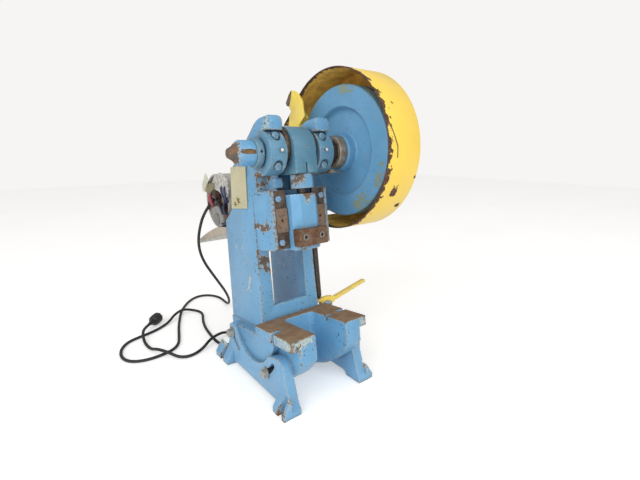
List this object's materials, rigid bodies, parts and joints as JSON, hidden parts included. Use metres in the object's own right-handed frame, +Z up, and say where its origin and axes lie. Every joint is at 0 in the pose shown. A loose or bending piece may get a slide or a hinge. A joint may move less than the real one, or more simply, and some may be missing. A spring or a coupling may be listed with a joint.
{
  "type": "mechanical stamping press",
  "caption": "Small inclinable bench stamping press with a crank-driven ram, flywheel under a sheet guard, belt drive from a rear motor, trip lever and a loose mains cord.",
  "frame": {"origin": "on the table, on the press's centre plane, straight below the centre of the cradle in which the frame leans", "axes": "+X to the flywheel side along the crankshaft, -Y to the front of the bed, +Z up"},
  "size_m": [0.5847, 0.7947, 0.7065],
  "materials": {
    "blue_paint": "worn gloss",
    "yellow_paint": "worn gloss",
    "bare_steel": "satin",
    "dark_steel": "oily",
    "rusty_steel": "rusty",
    "brass": "dull",
    "black_rubber": "matte",
    "black_plastic": "matte",
    "pale_plate": "matte",
    "motor_paint": "worn",
    "copper_coil": "dull"
  },
  "bodies": {
    "stand": {"left_leg": "blue_paint", "right_leg": "blue_paint", "cord_lay": "black_rubber", "plug": "black_plastic", "plug_contacts": "bare_steel"},
    "upright": {"press_frame": "blue_paint", "tilt_bolts": "bare_steel", "left_bearing_cap": "blue_paint", "right_bearing_cap": "blue_paint", "cap_bolts": "blue_paint", "oil_cups": "bare_steel", "crank_bushes": "brass", "thrust_rings": "brass", "gib_strips": "rusty_steel", "gib_plates": "rusty_steel", "gib_screws": "blue_paint", "flywheel_guard": "yellow_paint", "guard_bracket": "yellow_paint", "strap_bolts": "bare_steel", "rod_guide": "dark_steel", "lever_bracket": "bare_steel", "motor_shell": "motor_paint", "motor_stator": "copper_coil", "motor_capacitor": "motor_paint", "motor_plate": "motor_paint", "plate_bolts": "bare_steel", "motor_foot": "motor_paint", "blank_plate": "pale_plate", "drive_belt": "black_rubber", "cord_grommet": "black_rubber", "cord_hang": "black_rubber"},
    "crank": {"crankshaft": "blue_paint", "shaft_key": "brass", "shaft_collar": "blue_paint", "clutch_collar": "dark_steel", "clutch_sleeve": "dark_steel", "end_washer": "bare_steel"},
    "wheel": {"flywheel": "blue_paint"},
    "motor_rotor": {"motor_shaft": "bare_steel", "motor_pulley": "dark_steel"},
    "slide": {"ram": "blue_paint", "die_clamp": "rusty_steel", "die_clamp_screws": "dark_steel"},
    "rod": {"connecting_rod": "blue_paint", "ball_screw": "bare_steel", "adjusting_nut": "blue_paint"},
    "trip": {"trip_rod": "dark_steel", "clutch_latch": "dark_steel"},
    "lever": {"trip_lever": "yellow_paint"}
  },
  "joints": [
    {"name": "frame_tilt", "type": "hinge", "parent": "stand", "child": "upright", "pos_m": [0, 0, 0.15], "axis": [-1, 0, 0], "range_deg": [0, 19]},
    {"name": "crank_turn", "type": "hinge", "parent": "upright", "child": "crank", "pos_m": [0, -0.02841, 0.52351], "axis": [1, 0, 0], "continuous": true},
    {"name": "flywheel_spin", "type": "hinge", "parent": "upright", "child": "wheel", "pos_m": [0, -0.02841, 0.52351], "axis": [1, 0, 0], "continuous": true},
    {"name": "motor_spin", "type": "hinge", "parent": "upright", "child": "motor_rotor", "pos_m": [0, 0.2448, 0.39626], "axis": [1, 0, 0], "continuous": true},
    {"name": "ram_slide", "type": "slide", "parent": "upright", "child": "slide", "axis": [0, -0.1253, -0.9921], "range_m": [0, 0.022]},
    {"name": "rod_swing", "type": "hinge", "parent": "slide", "child": "rod", "pos_m": [0, -0.06637, 0.42247], "axis": [1, 0, 0], "range_deg": [-6, 6]},
    {"name": "trip_lever_turn", "type": "hinge", "parent": "upright", "child": "lever", "pos_m": [0.112, -0.00398, 0.14244], "axis": [0, 0.9921, -0.1253], "range_deg": [0, 16]},
    {"name": "trip_rod_lift", "type": "slide", "parent": "upright", "child": "trip", "axis": [0, 0.1253, 0.9921], "range_m": [0, 0.0067]}
  ],
  "couplings": [
    {"joint": "motor_spin", "follows": "flywheel_spin", "ratio": 5.1563},
    {"joint": "trip_rod_lift", "follows": "trip_lever_turn", "m_per_rad": 0.0236}
  ]
}
